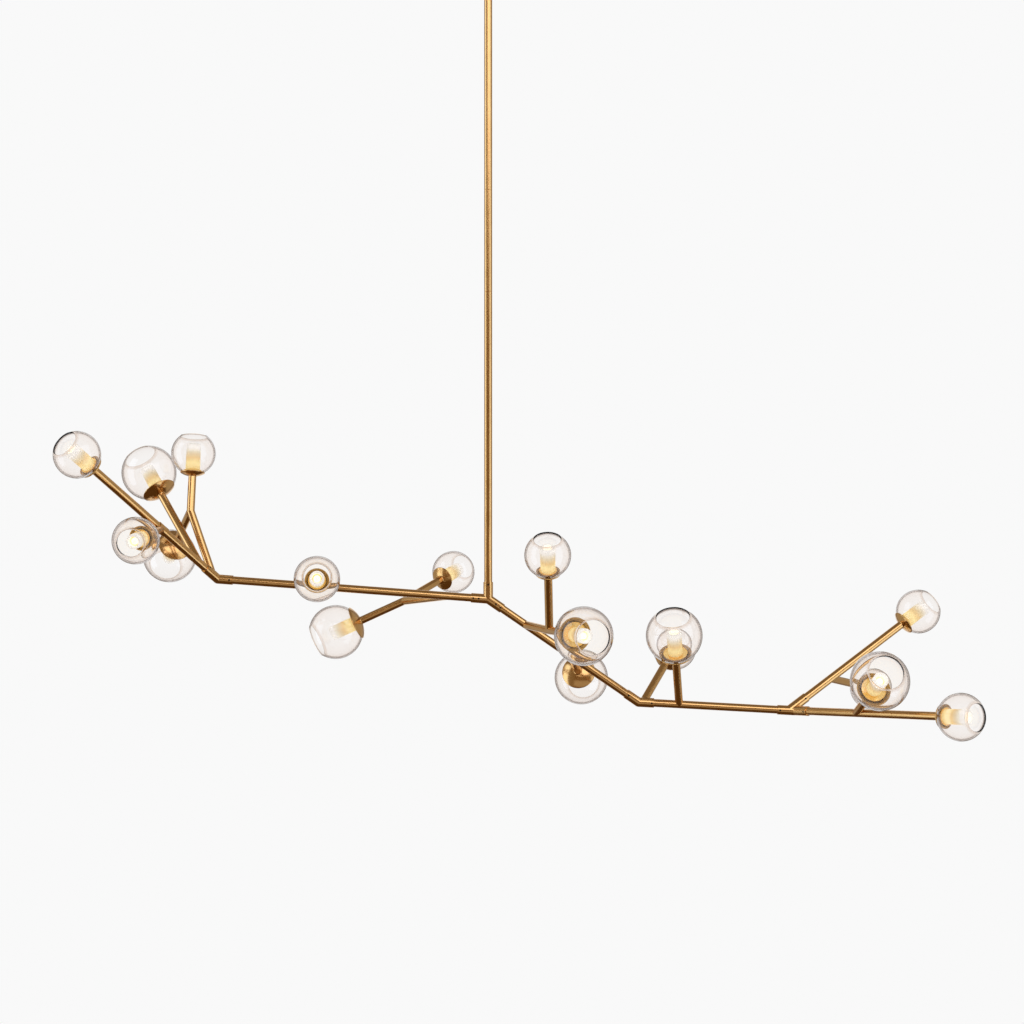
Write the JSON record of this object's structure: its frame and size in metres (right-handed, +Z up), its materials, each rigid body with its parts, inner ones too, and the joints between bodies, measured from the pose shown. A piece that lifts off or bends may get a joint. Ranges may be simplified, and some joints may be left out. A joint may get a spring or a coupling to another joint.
{
  "type": "branch chandelier",
  "caption": "Branching ceiling chandelier: a straight stem, two angled arms with slim rods, and clear glass globe shades with open mouths over frosted lamp tubes.",
  "frame": {"origin": "on the ceiling, in the middle of the bracket that is screwed to the junction box", "axes": "+Z up, +X to the right along the arms as seen from the front, the viewer at -Y"},
  "size_m": [1.7473, 0.6384, 1.5875],
  "materials": {
    "satin_brass": "satin, lacquered",
    "zinc_steel": "zinc plated",
    "clear_glass": "clear, faint warm tint",
    "frosted_glass": "frosted, lit from inside",
    "lamp_glass": "lit",
    "ceramic": "glazed ceramic",
    "connector_plastic": "moulded"
  },
  "bodies": {
    "ceiling_mount": {"ceiling_bracket": "zinc_steel", "bracket_studs": "zinc_steel", "canopy": "satin_brass", "canopy_nuts": "satin_brass", "swivel_bushing": "satin_brass", "wire_connectors": "connector_plastic"},
    "swivel": {"swivel_fork": "satin_brass", "swivel_retainer": "zinc_steel", "swivel_pin": "satin_brass"},
    "stem": {"swivel_tongue": "satin_brass", "stem_top_tube": "satin_brass", "stem_middle_tube": "satin_brass", "stem_bottom_tube": "satin_brass", "stem_joiners": "satin_brass", "hub": "satin_brass", "hub_set_screws": "zinc_steel"},
    "left_branches": {"left_arm_tube": "satin_brass", "left_fittings": "satin_brass", "left_set_screws": "zinc_steel", "left_tip_rod": "satin_brass", "left_fork_rods": "satin_brass", "mid_left_fork_rods": "satin_brass", "left_side_rods": "satin_brass", "left_cups": "satin_brass", "left_shade_rings": "satin_brass", "left_lampholders": "ceramic", "left_lamps": "lamp_glass", "left_diffusers": "frosted_glass", "shade_far_left": "clear_glass", "shade_left_high": "clear_glass", "shade_left_upright": "clear_glass", "shade_left_front": "clear_glass", "shade_left_back": "clear_glass", "shade_mid_left_front": "clear_glass", "shade_mid_left_low": "clear_glass", "shade_mid_left_back": "clear_glass"},
    "right_branches": {"right_arm_tube": "satin_brass", "right_elbow": "satin_brass", "right_middle_tube": "satin_brass", "right_tee": "satin_brass", "right_set_screws": "zinc_steel", "right_high_rod": "satin_brass", "far_right_tube": "satin_brass", "centre_fork_rods": "satin_brass", "right_side_rods": "satin_brass", "right_cups": "satin_brass", "right_shade_rings": "satin_brass", "right_lampholders": "ceramic", "right_lamps": "lamp_glass", "right_diffusers": "frosted_glass", "shade_centre_upright": "clear_glass", "shade_centre_front": "clear_glass", "shade_centre_back": "clear_glass", "shade_mid_right_front": "clear_glass", "shade_mid_right_back": "clear_glass", "shade_right_high": "clear_glass", "shade_right_front": "clear_glass", "shade_right_back": "clear_glass", "shade_far_right": "clear_glass"}
  },
  "joints": [
    {"name": "swivel_yaw", "type": "hinge", "parent": "ceiling_mount", "child": "swivel", "pos_m": [0, 0, -0.0293], "axis": [0, 0, 1], "range_deg": [-165, 165]},
    {"name": "stem_tilt", "type": "hinge", "parent": "swivel", "child": "stem", "pos_m": [0, 0, -0.0463], "axis": [1, 0, 0], "range_deg": [-20, 20]},
    {"name": "left_arm_turn", "type": "hinge", "parent": "stem", "child": "left_branches", "pos_m": [0, 0, -1.3363], "axis": [-0.9909, 0.1164, 0.068], "range_deg": [-45, 45]},
    {"name": "right_arm_turn", "type": "hinge", "parent": "stem", "child": "right_branches", "pos_m": [0, 0, -1.3363], "axis": [0.8187, 0.0947, -0.5664], "range_deg": [-45, 45]}
  ]
}
